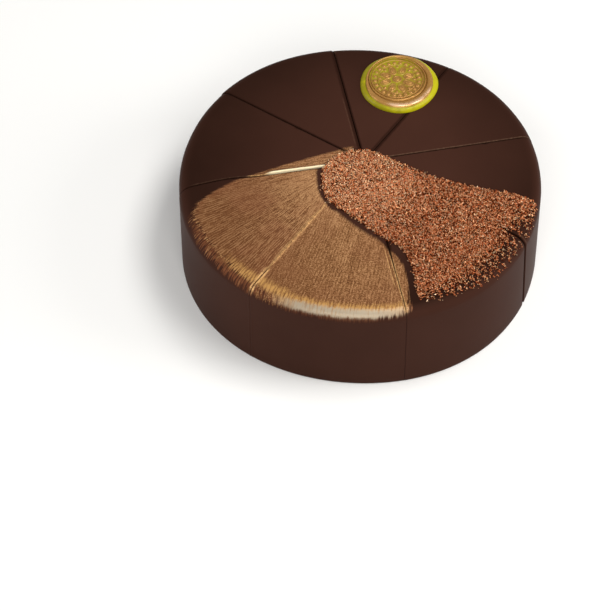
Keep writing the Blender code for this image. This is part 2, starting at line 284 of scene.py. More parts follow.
def work_edge(cut, side, along, down):
    """Beside a cut, from the cut face outwards: how far the glaze moves towards the cut, how far it rises,
    how strong the painted highlight on its raised edges is, how much cream shows and how much painted shade
    darkens the groove. down goes from 0 on top to 1 on the wall."""
    knots, (wall_gap, wall_round), rounds = CUTS[cut]
    wobble = 1 + 0.35 * np.sin(along * 0.9 + cut) * np.sin(along * 0.31 + 2 * cut)
    half_gap = np.interp(along, *zip(*knots)) * wobble
    half_gap = half_gap + (wall_gap - half_gap) * down
    rounding = rounds[0] if side < 0 else rounds[1]
    rounding = rounding * (0.8 + 0.2 * wobble) * (1 - down) + wall_round * down + 1e-3
    for where, length, size in on_side(CHIPS, cut, side):
        rounding = rounding + size * bell(along - where, length) * (1 - 0.7 * down)
    short = np.clip(1 - ASIDE / rounding, 0, 1)
    rise = -np.minimum(rounding, 0.6) * (1 - np.sqrt(1 - short**2)) - DEEP
    pale, cream = along * 0, along * 0
    # Burrs stand up, and a painted highlight lies along them.
    for start, end, height, where, width, tint in on_side(BURRS, cut, side):
        ridge = bell(ASIDE - where, width) * stretch(along, start, end) * (DEEP == 0)
        ridge = ridge * (0.7 + 0.3 * np.sin(along * 1.7) * np.sin(along * 0.53 + 1))
        rise = rise + height * ridge
        pale = np.maximum(pale, tint * ridge)
    for start, end, where, depth in on_side(SCORES, cut, side):
        score = stretch(along, start, end) * (DEEP == 0)
        rise = rise - depth * score * bell(ASIDE - where, 0.26)
        # a painted highlight along the score's edge
        pale = np.maximum(pale, 0.7 * score * bell(ASIDE - where - 0.5, 0.25))
    for start, end, height, width in on_side(CREAM_EDGES, cut, side):
        shown = stretch(along, start, end)
        proud = shown * (0.12 + 0.88 * smooth_step(start, end - 4, along))
        rise = rise + height * proud * smooth_step(STRIPS[-1], width, ASIDE)
        cream = shown * smooth_step(width + 0.3, width - 0.1, ASIDE)
    # Painted shade in the groove, over the rounding beside the cut.
    groove = smooth_step(rounding + 0.25, rounding * 0.45, ASIDE) * (1 - pale) * (1 - cream)
    groove = groove * (1 - 0.7 * down)
    shift = (KNIFE_GAP / 2 - half_gap) * (1 - ASIDE / STRIPS[-1])
    return shift, rise, pale * smooth_step(0.95, 0.45, down), cream, groove


def slice_columns(middle):
    """The lines a slice is laid out on, as starts and directions: down the first cut face and along
    strips beside it, a fan between, and strips and the face of the second cut."""
    half_sine = math.sin(math.radians(SLICE_TURN / 2))
    tips = CUT_CENTRE + polar(middle, 1.0) * ((KNIFE_GAP / 2 + ASIDE) / half_sine)[:, None]
    starts = np.concatenate([tips, np.repeat(tips[-1:], FAN_COLUMNS - 1, axis=0), tips[::-1]])
    shares = np.concatenate([ASIDE * 0, np.arange(1, FAN_COLUMNS) / FAN_COLUMNS, ASIDE * 0 + 1])
    return starts, polar(middle + SLICE_TURN * (shares - 0.5), 1.0)


def slice_rows(starts, directions):
    """Places, normals and the drop below the roll, row by row: flat top, roll, wall and foot."""
    flat_end = distance_to_rim(starts, directions, RIM_ROLL)
    plans = [starts + directions * (flat_end * row / FLAT_ROWS)[:, None] for row in range(FLAT_ROWS + 1)]
    for row in range(1, ROLL_ROWS + 1):
        depth = RIM_ROLL * (1 - math.sin(math.pi / 2 * row / ROLL_ROWS))
        plans.append(starts + directions * distance_to_rim(starts, directions, depth)[:, None])
    raised = [onto_glaze(plan) for plan in plans]
    places = [place for place, _ in raised]
    normals = [normal for _, normal in raised]
    drops = [0.0] * len(plans)
    out = outward(plans[-1])
    level = CAKE_HEIGHT - RIM_ROLL
    wall = [(0.0, (level - FOOT_ROLL) * row / WALL_ROWS) for row in range(1, WALL_ROWS + 1)]
    foot = [(math.pi / 2 * row / FOOT_ROWS, level - FOOT_ROLL) for row in range(1, FOOT_ROWS + 1)]
    for turn, drop in wall + foot:
        plan = plans[-1] - out * FOOT_ROLL * (1 - math.cos(turn))
        places.append(at_height(plan, level - drop - FOOT_ROLL * math.sin(turn)))
        normals.append(at_height(out * math.cos(turn), -math.sin(turn)))
        drops.append(drop)
    return np.array(places), np.array(normals), np.array(drops)


def bowed(places):
    """The slices' tops, pushed clockwise or back where the knife dragged a cut aside."""
    offset = places[..., :2] - CUT_CENTRE
    for cut, where, length, width, most in SEAM_BOWS:
        along, left = cut_axes(cut)
        push = most * bell(offset @ along - where, length) * bell(offset @ left, width)
        places[..., :2] -= push[..., None] * left
    return places


def leant(places, drops):
    """The slices' walls, leaning along the rim where the cake was pushed while it was cut."""
    where, width, most = SEAM_LEAN
    bearing = np.degrees(np.arctan2(places[..., 1], places[..., 0]))
    turn = np.radians(most * bell(bearing - where, width) * drops[:, None] / CAKE_HEIGHT)
    x, y = places[..., 0].copy(), places[..., 1].copy()
    places[..., 0] = x * np.cos(turn) - y * np.sin(turn)
    places[..., 1] = x * np.sin(turn) + y * np.cos(turn)
    return places


def slice_faces(rows, columns):
    """Faces over the grid, the two cut faces and the underside. Its last vertex is the tip's foot."""
    first = len(ASIDE)
    tip_row = [min(c, first - 1, columns - 1 - c) for c in range(columns)]

    def corner(row, column):
        return tip_row[column] if row == 0 else first + (row - 1) * columns + column

    faces = []
    for row in range(rows - 1):
        for column in range(columns - 1):
            around = [(row, column), (row + 1, column), (row + 1, column + 1), (row, column + 1)]
            faces.append(list(dict.fromkeys(corner(*spot) for spot in around)))
    foot = first + (rows - 1) * columns
    faces.append([corner(row, 0) for row in reversed(range(rows))] + [foot])
    faces.append([corner(row, columns - 1) for row in range(rows)] + [foot])
    faces.append([corner(rows - 1, column) for column in reversed(range(columns))] + [foot])
    return faces


def new_object(name, data):
    """An object in the scene that shows a mesh, a light or a camera."""
    made = bpy.data.objects.new(name, data)
    bpy.context.scene.collection.objects.link(made)
    return made


def new_piece(name, vertices, faces, finish, marks, sharp_angle=None):
    """A mesh piece in millimetres that rides on the cake. Its marks are numbers, one a vertex, for its
    finish to read."""
    mesh = bpy.data.meshes.new(name)
    mesh.from_pydata((vertices * MM).tolist(), [], faces)
    mesh.materials.append(finish)
    for mark, values in marks.items():
        layer = mesh.attributes.new(mark, "FLOAT", "POINT")
        layer.data.foreach_set("value", values.astype(np.float32))
    if sharp_angle:
        mesh.shade_smooth()
        mesh.set_sharp_from_angle(angle=math.radians(sharp_angle))
    piece = new_object(name, mesh)
    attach(piece, "root")
    return piece


def make_slice(name, index, slip, finish):
    """One slice: a grid from its tip to its foot, lifted and shifted beside its two cuts."""
    middle = FIRST_CUT + (index + 0.5) * SLICE_TURN
    starts, directions = slice_columns(middle)
    places, normals, drops = slice_rows(starts, directions)
    rows, columns = places.shape[:2]
    plan = places[..., :2].copy()
    laid_flat = unroll(plan, drops[:, None]).reshape(-1, 2)
    cover = crumb_cover(plan.reshape(-1, 2), reach_inside(laid_flat, DRIFT)).reshape(rows, columns)
    marks = {mark: np.zeros((rows, columns)) for mark in ("pale", "cream", "groove")}
    marks["fan_reach"] = reach_inside(laid_flat, FAN).reshape(rows, columns)
    marks["past_edge"] = past_edge(plan, drops[:, None])
    marks["bed"] = cover
    settle = np.minimum(1, np.arange(rows)[::-1] / (FOOT_ROWS + 2))[:, None]
    lift = RIPPLE * ripple(places.reshape(-1, 3)).reshape(rows, columns) * settle + BED_HEIGHT * cover
    down = np.clip(np.arange(rows) - FLAT_ROWS, 0, ROLL_ROWS)[:, None] / ROLL_ROWS
    edge = len(ASIDE)
    for cut, side, strip in ((index, 1, slice(0, edge)), (index + 1, -1, slice(columns - edge, columns))):
        order = slice(None, None, side)
        heading, left = cut_axes(cut)
        along = ((plan[:, strip] - CUT_CENTRE) @ heading)[:, order]
        shift, rise, *looks = (
            np.broadcast_to(part, along.shape)[:, order]
            for part in work_edge(cut % len(CUTS), side, along, down)
        )
        lift[:, strip] += rise
        for mark, look in zip(("pale", "cream", "groove"), looks):
            marks[mark][:, strip] = look
        sideways = np.append(left * side, 0.0)
        normals[:, strip] -= (normals[:, strip] @ sideways)[..., None] * sideways
        places[:, strip] -= shift[..., None] * sideways
    points = bowed(leant(places + normals * lift[..., None], drops))
    points[..., 2] = np.maximum(points[..., 2], 0.0)
    foot = [*points[0, 0, :2], 0.0]

    def per_vertex(grid):
        return np.concatenate([grid[0, :edge], grid[1:].reshape(-1, *grid.shape[2:]), grid[:1, 0]])

    points = per_vertex(points)
    points[-1] = foot
    points[:, :2] += polar(middle, slip)
    piece = new_piece(
        f"glazed_{name}", points, slice_faces(rows, columns), finish,
        {mark: per_vertex(grid) for mark, grid in marks.items()}, SHARP_ANGLE,
    )
    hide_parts(f"slice_{name}")


class Wire:
    """A shader value: what a socket gives. Sums and products of wires add Math nodes."""

    def __init__(self, finish, socket):
        self.finish, self.socket = finish, socket

    def __add__(self, other):
        return self.finish.math("ADD", self, other)

    def __radd__(self, other):
        return self.finish.math("ADD", other, self)

    def __sub__(self, other):
        return self.finish.math("SUBTRACT", self, other)

    def __rsub__(self, other):
        return self.finish.math("SUBTRACT", other, self)

    def __mul__(self, other):
        return self.finish.math("MULTIPLY", self, other)

    def __rmul__(self, other):
        return self.finish.math("MULTIPLY", other, self)

    def __pow__(self, other):
        return self.finish.math("POWER", self, other)


class Finish:
    """A finish under construction: one Principled shader, the nodes that feed it, and wires that say
    where on the cake a point is, in millimetres."""

    def __init__(self, name, constants):
        self.material = bpy.data.materials.new(name)
        self.material.use_nodes = True
        self.tree = self.material.node_tree
        self.shader = self.tree.nodes["Principled BSDF"]
        for socket, value in constants.items():
            self.shader.inputs[socket].default_value = value
        spot = self.add("TexCoord", {}, "Object")
        self.place = [self.add("SeparateXYZ", {0: spot}, axis) * (1 / MM) for axis in range(3)]

    def add(self, kind, sockets, output=0, **settings):
        """A node by its type, its sockets' values or wires, and its settings, which are set first; gives
        an output."""
        node = self.tree.nodes.new("ShaderNode" + kind)
        for setting, value in settings.items():
            if setting == "stops":
                self.set_stops(node.color_ramp.elements, value)
            else:
                setattr(node, setting, value)
        self.feed(node, sockets)
        return Wire(self, node.outputs[output])

    def set_stops(self, elements, stops):
        """The stops of a colour ramp, each a position and a colour."""
        while len(elements) < len(stops):
            elements.new(1.0)
        for element, stop in zip(elements, stops):
            element.position, element.color = stop

    def feed(self, node, sockets):
        for name, value in sockets.items():
            if isinstance(value, Wire):
                self.tree.links.new(value.socket, node.inputs[name])
            else:
                node.inputs[name].default_value = value

    def math(self, operation, first, second=0.0):
        """A Math node: what an operation makes of one or two numbers."""
        return self.add("Math", {0: first, 1: second}, operation=operation)

    def step(self, value, low, high):
        """A smooth step from 0 to 1 as a value goes from low to high."""
        ends = {"Value": value, "From Min": low, "From Max": high}
        return self.add("MapRange", ends, interpolation_type="SMOOTHSTEP")

    def blend(self, share, first, second):
        """A colour between two, by a share."""
        return self.add("Mix", {0: share, 6: first, 7: second}, 2, data_type="RGBA")

    def noise(self, x, y, z, detail=2.0, roughness=0.5):
        """Noise, about 0.5, at a place measured in its lumps."""
        spot = self.add("CombineXYZ", {0: x, 1: y, 2: z})
        sockets = {"Vector": spot, "Scale": 1.0, "Detail": detail, "Roughness": roughness}
        return self.add("TexNoise", sockets)

    def lumps(self, fineness, detail=2.0, roughness=0.5):
        """Noise, so many lumps to a millimetre."""
        return self.noise(*(axis * fineness for axis in self.place), detail, roughness)

    def read(self, *names):
        """Numbers that were marked on a piece's vertices."""
        return [self.add("Attribute", {}, "Fac", attribute_name=name) for name in names]

    def bump(self, relief):
        """A normal, from a relief in millimetres."""
        return self.add("Bump", {"Height": relief, "Distance": MM, "Strength": 1.0})


def paint(red, green, blue):
    """A colour as it shows on a screen, 0 to 255, turned into a shader's colour."""
    shown = (c / 255 for c in (red, green, blue))
    return (*(((c + 0.055) / 1.055) ** 2.4 if c > 0.04 else c / 12.92 for c in shown), 1.0)


GLAZE_DEEP = paint(41, 24, 18)
GLAZE_WARM = paint(64, 39, 31)
# painted shade in the grooves beside the cuts
GROOVE_SHADE_PAINTED = paint(36, 19, 13)
# painted highlight on the raised cut edges of bare glaze
GLAZE_EDGE_HIGHLIGHT = paint(128, 100, 80)
CREAM = paint(248, 234, 196)
BED_BROWN = paint(48, 22, 12)
BRONZE_SHADE = paint(88, 55, 34)
BRONZE_BODY = paint(126, 85, 53)
BRONZE_LIGHT = paint(156, 112, 75)
BRONZE_GLEAM = paint(196, 150, 106)
BRONZE_RED = paint(118, 70, 47)
BRONZE_DEEP = paint(82, 45, 32)
BRONZE_LEFT = paint(108, 68, 42)
BRONZE_ROSE = paint(138, 88, 62)
# painted highlight: on the bronze's raised cut edges, and glints where the coat is thin
GOLD_HIGHLIGHT = paint(232, 184, 124)
# pearl dust with a painted highlight, on the rim's roll
PEARL_SHEEN = paint(170, 156, 136)
GOLD_SHEEN = paint(195, 148, 88)
LEFT_SHARE = 0.62
BRUSH_CUTS = (4, 5)  # the left cut, and the front left one, right of which the brush was set down anew
BRUSH_STARTS = ((0.0, 17.0), (42.0, 145.0))  # these and the next three: left and right of that cut
HAIRS = (66.0, 118.0)  # hairs of the brush to a radian about each start
STROKE_STRENGTH = (1.6, 0.5)
ROSE_SHARE = (0.30, 0.16)
STROKE_NOISE = (  # lumps to a hair's breadth, lumps to a millimetre along it, where the noise is read
    (2.2, 0.20, 2.0), (1.1, 0.08, 5.7), (0.4, 0.03, 10.1), (0.9, 0.10, 31.0), (4.0, 0.12, 21.0),
)
# The painted sheen on the glaze: where the top is painted lighter, and how much lighter the wall is painted.
SHEEN_PATCH_PAINTED = ((14.0, 14.0), (122.0, 28.0))  # its middle, how far it reaches and how far it is full
WALL_SHEEN_PAINTED = 0.75
# A painted patch of light on the fan's head.
LIGHT_HEAD = (-12.0, (62.0, 14.0), 0.22)  # the fan's light patch: its x, its reach, how light it is
PEARL_TURN = (-0.46, 0.27)  # from and to round the front, in radians from -Y
GOLD_TURN = (-0.95, -0.70)
RED_TURN = (-1.32, -1.05)


def plan_distance(x, y):
    return (x * x + y * y) ** 0.5


def ahead_of_cut(finish, cut, x, y):
    """1 on the counter-clockwise side of a cut, 0 on the other."""
    _, left = cut_axes(cut)
    return finish.math("GREATER_THAN", (x - CUT_CENTRE[0]) * left[0] + (y - CUT_CENTRE[1]) * left[1])


def either(right, values):
    """The first of two values left of the brush's cut, the second right of it."""
    return right * (values[1] - values[0]) + values[0]


def bare_glaze(finish, x, y, past, cloud):
    """The glaze's brown, with a cloud of random tone and painted light: a painted sheen, lightest and warmest
    about the middle of the top, and a wall painted lighter.
    """
    (middle_x, middle_y), reach = SHEEN_PATCH_PAINTED
    wall = finish.step(past, -1.0, 7.0)
    top = finish.step(plan_distance(x - middle_x, y - middle_y), *reach) * (1 - wall)
    return finish.blend(top + wall * WALL_SHEEN_PAINTED + (cloud - 0.5) * 0.6, GLAZE_DEEP, GLAZE_WARM)


def brush_strokes(finish, x, y):
    """The strokes: hairs that run out from where the brush was set down. Holds noises drawn out along
    them, from a single hair to whole locks, the comb that they leave and its relief."""
    right = ahead_of_cut(finish, BRUSH_CUTS[1], x, y)
    start_x, start_y = (either(right, values) for values in zip(*BRUSH_STARTS))
    dx, dy = x - start_x, y - start_y
    run = plan_distance(dx, dy)
    wander = finish.noise(x * 0.05, y * 0.05, right * 9.0)
    across = finish.math("ARCTAN2", dx, dy * -1) * either(right, HAIRS) + wander * 1.5
    single, hairs, locks, strength, tips = (
        finish.noise(across * fine, run * long, place, detail=1.0) for fine, long, place in STROKE_NOISE
    )
    grain = finish.lumps(1.4, detail=1.0)
    comb = finish.math("SINE", (across + hairs) * (2 * math.pi))
    relief = comb * (strength * 0.5 - 0.08) + (single - 0.5) * 1.1 + (hairs - 0.5) * 0.3 + (locks - 0.5) * 0.3
    relief = relief * either(right, STROKE_STRENGTH) + (grain - 0.5) * 1.5
    return SimpleNamespace(
        right=right, single=single, hairs=hairs, locks=locks,
        tips=tips, grain=grain, comb=comb, relief=relief,
    )


def worn_coat(finish, brush, fan_reach, past, around, band):
    """The bronze coat, which ends in single hairs, short ones beside the crumbs, the thin part of it
    over the rim, and the strands that are left in that."""
    at_rim = finish.step(past, -6.0, 0.0)
    tips = finish.step(brush.tips, 0.36, 0.64) - 0.5
    ends = fan_reach + band * 1.3 + tips * (at_rim * 3.0 + 1.0) * (1 - band * 0.35)
    red_share = finish.step(around, *RED_TURN)
    thin_width = red_share * 3.4 + finish.step(around, -1.40, -1.15) * 1.8 + 1.6
    ragged = (brush.hairs + brush.single + brush.grain - 1.5) * 5.0
    thin = finish.step(fan_reach - thin_width + ragged, 1.8, -1.8) * at_rim * (1 - band)
    strands = finish.step(brush.single + (brush.locks - 0.5) * 0.6, 0.58, 0.66)
    combed = brush.single + brush.comb * 0.08
    thin_coat = red_share * (finish.step(combed, 0.32, 0.58) * 0.75 + 0.12) + strands * 0.5
    thin_coat = thin_coat + (1 - red_share) * finish.step(combed, 0.45, 0.70) * 0.35
    coat = finish.step(ends, band * -1.0 - 0.5, band + 0.8) * ((thin_coat - 1) * thin + 1)
    return coat, thin, strands


def bronze_colour(finish, brush, x, y, thin, strands):
    """Pearl dust, from the shade between strokes to their gleam: lighter at the fan's head, where a patch of
    light is painted, browner to the left and behind the left cut, and red with a few painted glints where it
    is thin."""
    head_x, reach, lightness = LIGHT_HEAD
    # Painted light: a lighter patch about the fan's head.
    glow = finish.step(plan_distance(x - head_x, y), *reach) * lightness + (brush.locks - 0.5) * 0.2
    behind = 1 - ahead_of_cut(finish, BRUSH_CUTS[0], x, y)
    stops = ((0.10, BRONZE_SHADE), (0.42, BRONZE_BODY), (0.62, BRONZE_LIGHT), (0.95, BRONZE_GLEAM))
    bronze = finish.add("ValToRGB", {"Fac": brush.relief + glow - behind * 0.20 + 0.52}, stops=stops)
    leftward = finish.step(x * -1 - y * 0.2 + (brush.locks - 0.5) * 30.0, 15.0, 95.0)
    bronze = finish.blend(leftward * LEFT_SHARE, bronze, BRONZE_LEFT)
    rosy = finish.step(finish.noise(x * 0.03, y * 0.03, 7.0), 0.42, 0.62)
    bronze = finish.blend(rosy * either(brush.right, ROSE_SHARE), bronze, BRONZE_ROSE)
    bronze = finish.blend(thin * (1 - strands) * 0.75, bronze, BRONZE_RED)
    # Painted glints where the coat is thin.
    glints = finish.step(brush.grain + (brush.single - 0.5) * 0.8, 0.52, 0.66)
    return finish.blend(thin * (1 - thin) * 1.6 * glints, bronze, GOLD_HIGHLIGHT)


def rim_bands(finish, brush, bronze, past, around, band, band_stop):
    """The bands along the front rim: pearl dust with the highlight on the roll painted in, gold and pearl
    white below it, and a dark fringe under that."""
    depth = past + (brush.hairs - 0.5) * 2.0 + (brush.single - 0.5) * 3.0 + (brush.grain - 0.5) * 2.0
    stray = around + (brush.locks - 0.5) * 0.2
    # The gold and pearl white bands are pearl dust with a painted highlight on the roll.
    gold_sheen = finish.step(stray, *GOLD_TURN) * band_stop
    gold_sheen = gold_sheen * finish.step(depth, band * 3.0 - 7.0, band * 3.0 - 2.0)
    gold_sheen = gold_sheen * finish.step(depth, band * 6.0 + 3.5, band * 2.0)
    gold_sheen = gold_sheen * (finish.step(brush.single + brush.comb * 0.1, 0.36, 0.64) * 0.60 + 0.38)
    pearl_sheen = band * finish.step(stray, PEARL_TURN[0] - 0.10, PEARL_TURN[0] + 0.16)
    pearl_sheen = pearl_sheen * finish.step(depth, 0.2, 3.4) * finish.step(depth, 9.4, 6.0)
    pearl_sheen = pearl_sheen * (finish.step(brush.single + brush.comb * 0.06, 0.25, 0.5) * 0.4 + 0.6)
    pearl_sheen = pearl_sheen * (1 - finish.step(around, 0.10, 0.27) * 0.35)
    bronze = finish.blend(pearl_sheen, finish.blend(gold_sheen, bronze, GOLD_SHEEN), PEARL_SHEEN)
    return finish.blend(band * finish.step(depth, 6.0, 8.4) * 0.85, bronze, BRONZE_DEEP)


def glaze_finish():
    """Dark glaze, with bronze pearl dust brushed over the front left and a bed under the crumbs, and painted
    light: a sheen, highlights on the raised cut edges and shade in the grooves.
    """
    finish = Finish("brushed_chocolate_glaze", {
        "Specular IOR Level": 0.02, "Specular Tint": (1.0, 0.6, 0.45, 1.0),
    })
    x, y, _ = finish.place
    fan_reach, past, bed, pale, cream, groove = finish.read(
        "fan_reach", "past_edge", "bed", "pale", "cream", "groove",
    )
    cloud = finish.lumps(0.02, detail=3.0)
    brush = brush_strokes(finish, x, y)
    around = finish.math("ARCTAN2", x, y * -1)
    band_start, band_end = PEARL_TURN
    band_stop = finish.step(around, band_end + 0.05, band_end - 0.05)
    band = finish.step(around + (brush.locks - 0.5) * 0.3, band_start - 0.1, band_start + 0.1) * band_stop
    coat, thin, strands = worn_coat(finish, brush, fan_reach, past, around, band)
    bronze = bronze_colour(finish, brush, x, y, thin, strands)
    bronze = rim_bands(finish, brush, bronze, past, around, band, band_stop)

    colour = finish.blend(coat, bare_glaze(finish, x, y, past, cloud), bronze)
    # Painted shade darkens the glaze in the grooves beside the cuts.
    colour = finish.blend(groove * 0.75, colour, GROOVE_SHADE_PAINTED)
    # Painted highlight along the raised cut edges: pale brown on bare glaze, gold on the bronze.
    rubbed = pale * (finish.step(brush.grain + (brush.single - 0.5) * 0.8, 0.38, 0.60) * 0.55 + 0.55)
    colour = finish.blend(rubbed, colour, finish.blend(coat, GLAZE_EDGE_HIGHLIGHT, GOLD_HIGHLIGHT))
    colour = finish.blend(cream, colour, CREAM)
    grit = finish.lumps(1.6, detail=3.0, roughness=0.7)
    bed_share = finish.step(bed + (grit - 0.5) * 0.8, 0.35, 0.6)
    pores = finish.lumps(0.5, detail=4.0, roughness=0.6)
    finish.feed(finish.shader, {
        "Base Color": finish.blend(bed_share, colour, BED_BROWN),
        "Metallic": coat * (1 - cream) * 0.3,
        "Roughness": 0.40 + cloud * 0.06 + bed_share * 0.3,
        "Normal": finish.bump(pores * 0.03 + brush.relief * coat * 0.06 + grit * bed_share * 0.5),
    })
    return finish.material


glaze = glaze_finish()
for index, (name, slip) in enumerate(SLICE_SLIPS.items()):
    make_slice(name, index, slip, glaze)


# ----------------------------------------------------------------------
# The crumb drift. Fine flakes of chocolate, dusted with copper pearl, are spooned over the front
# right of the wet glaze. They lie about two deep, thin out to single crumbs at the edge, and have
# fallen away along the front rim and beside one cut.

GRAIN_PITCH = 0.54
ROW_STEP = 0.866  # between the rows of a grid of triangles, as a share of its pitch
GRAIN_FIELD = (-40, 40)  # no crumb lies left of the first or behind the second
GRAIN_STRAY = 0.42  # how far a crumb strays from its place in the grid, as a share of the pitch
GRAIN_SIZE = (0.13, 0.28)  # half a crumb's width
GRAIN_STRETCH = (1.2, 3.2)  # how many times as long it is
GRAIN_HALF = 0.62  # half a crumb's length, before it is stretched
GRAIN_WEAR = 0.28  # how far its corners are moved
GRAIN_TILT = 36  # degrees, as a standard deviation
UPPER_SHARE = 0.56  # of the crumbs have another on top
UPPER_LIFT = (0.50, 1.25)
HEAD_LIGHTNESS = (50.0, 12.0, 0.9)  # towards the drift's head more crumbs are light: from, to, how many
STRAY_REACH = 3.5
STRAY_SHARE = 0.02
GRAIN_SEED = 21
KNIFE_LINE = (7, 93.0, 0.5)  # the cut that parts the crumbs, from where, how far to its sides
GRAINS = {  # share of all, its darkest and lightest colour, metallic, roughness, from light to dark
    "crumbs_gold": (0.15, paint(232, 173, 119), paint(255, 225, 187), 0.50, 0.32),
    "crumbs_tan": (0.27, paint(212, 126, 77), paint(253, 186, 136), 0.50, 0.38),
    "crumbs_copper": (0.16, paint(176, 86, 44), paint(230, 136, 85), 0.50, 0.38),
    "crumbs_rust": (0.12, paint(124, 50, 20), paint(176, 84, 46), 0.40, 0.42),
    "crumbs_brown": (0.30, paint(36, 11, 2), paint(80, 28, 9), 0.0, 0.75),
}


def splinter():
    """The eight corners and the faces of a crumb before it is worn: a square twisted over a square."""
    corners = [
        (math.cos(turn), math.sin(turn), end)
        for end, twist in ((-GRAIN_HALF, 0), (GRAIN_HALF, 0.5))
        for turn in (np.arange(4) + twist) * math.pi / 2
    ]
    faces = [(0, 2, 1), (0, 3, 2), (4, 5, 6), (4, 6, 7)]
    for k in range(4):
        after = (k + 1) % 4
        faces += [(k, after, 4 + k), (after, 4 + after, 4 + k)]
    return np.array(corners), np.array(faces)


def scatter_grains(chance):
    """Places for all the grains: on the drift's bed, some on top of others, and a few astray."""
    steps = int(2 * CAKE_RADIUS / GRAIN_PITCH)
    column, row = np.meshgrid(np.arange(steps), np.arange(int(steps / ROW_STEP)))
    x = (column + row % 2 / 2) * GRAIN_PITCH - CAKE_RADIUS
    y = row * GRAIN_PITCH * ROW_STEP - CAKE_RADIUS
    plan = np.column_stack([x.ravel(), y.ravel()])
    plan = plan[(plan[:, 0] > GRAIN_FIELD[0]) & (plan[:, 1] < GRAIN_FIELD[1])]
    plan = plan + chance.uniform(-GRAIN_STRAY, GRAIN_STRAY, plan.shape) * GRAIN_PITCH
    plan = plan[inset(plan) > 0.2]
    reach = reach_inside(unroll(plan), DRIFT)
    near = reach > -STRAY_REACH
    plan, reach = plan[near], reach[near]
    clumps = patches(plan, 9.0)
    cover = crumb_cover(plan, reach + clumps * 0.8)
    astray = STRAY_SHARE * smooth_step(-STRAY_REACH, 0.0, reach)
    cut, begin, width = KNIFE_LINE
    offset, (along, left) = plan - CUT_CENTRE, cut_axes(cut)
    parted = (offset @ along > begin) & (np.abs(offset @ left) < width)
    likely = np.maximum(cover * (1 + 0.2 * clumps), astray) * ~parted
    kept = chance.uniform(size=len(plan)) < likely
    plan, cover = plan[kept], cover[kept]
    upper = chance.uniform(size=len(plan)) < UPPER_SHARE * cover
    plan = np.concatenate([plan, plan[upper] + chance.uniform(-0.4, 0.4, (upper.sum(), 2))])
    upper_lift = BED_HEIGHT * cover[upper] + chance.uniform(*UPPER_LIFT, upper.sum())
    lift = np.concatenate([BED_HEIGHT * cover + 0.1, upper_lift])
    places, normals = onto_glaze(plan)
    return places + normals * lift[:, None]


def turned(chance, count):
    """Rotations that lay a grain's long axis near the level, one 3 by 3 matrix a grain."""
    heading, roll = chance.uniform(0, 2 * np.pi, (2, count))
    tilt = np.radians(chance.normal(0, GRAIN_TILT, count))
    east, north = np.cos(heading), np.sin(heading)
    long_axis = np.column_stack([east * np.cos(tilt), north * np.cos(tilt), np.sin(tilt)])
    beside = np.column_stack([-north, east, heading * 0])
    upright = np.cross(long_axis, beside)
    first = beside * np.cos(roll)[:, None] + upright * np.sin(roll)[:, None]
    return np.stack([first, np.cross(long_axis, first), long_axis], -1)


def grain_finish(name, dark, light, metallic, roughness):
    """Pearl-dusted chocolate: each crumb has its own tone, with darker specks on its faces."""
    finish = Finish(name, {"IOR": 1.25, "Specular IOR Level": 0.45, "Specular Tint": (1.0, 0.7, 0.5, 1.0)})
    (tint,) = finish.read("tint")
    specks = finish.lumps(3.0)
    share = finish.step(tint * 0.7 + specks * 0.3, 0.1, 0.9)
    finish.feed(finish.shader, {
        "Base Color": finish.blend(share, dark, light),
        "Metallic": tint * 0.1 + metallic,
        "Roughness": specks * 0.2 + (roughness - 0.1),
    })
    return finish.material


chance = np.random.default_rng(GRAIN_SEED)
grain_corners, grain_faces = splinter()
grain_places = scatter_grains(chance)
far, near, more = HEAD_LIGHTNESS
lightness = more * smooth_step(far, near, np.linalg.norm(grain_places[:, :2] - DRIFT_HEAD, axis=1))
rank = chance.uniform(size=len(grain_places)) ** (1 + lightness)
kind_of_grain = np.searchsorted(np.cumsum([look[0] for look in GRAINS.values()][:-1]), rank)
for kind, (name, look) in enumerate(GRAINS.items()):
    middles = grain_places[kind_of_grain == kind]
    count, corner_count = len(middles), len(grain_corners)
    worn = grain_corners[None] + chance.uniform(-GRAIN_WEAR, GRAIN_WEAR, (count, corner_count, 3))
    widths = chance.uniform(*GRAIN_SIZE, (count, 1, 3)) * [1, 1, 0]
    lengths = chance.uniform(*GRAIN_SIZE, (count, 1, 1)) * chance.uniform(*GRAIN_STRETCH, (count, 1, 1))
    shapes = worn * (widths + lengths * [0, 0, 1])
    corners = np.einsum("gij,gkj->gki", turned(chance, count), shapes) + middles[:, None]
    faces = (grain_faces[None] + corner_count * np.arange(count)[:, None, None]).reshape(-1, 3)
    finish = grain_finish(name, *look[1:])
    marks = {"tint": np.repeat(chance.uniform(size=count), corner_count)}
    new_piece(name, corners.reshape(-1, 3), faces.tolist(), finish, marks)


# ----------------------------------------------------------------------
# The seal. A thick round of lime-green chocolate is poured at the back of the cake, and a cold
# metal stamp pressed into it while it sets: a plain ring, a flower of eight petals and a row of
# beads. The chocolate is pushed out into a lip, and gold bronze is rubbed over what stands up.

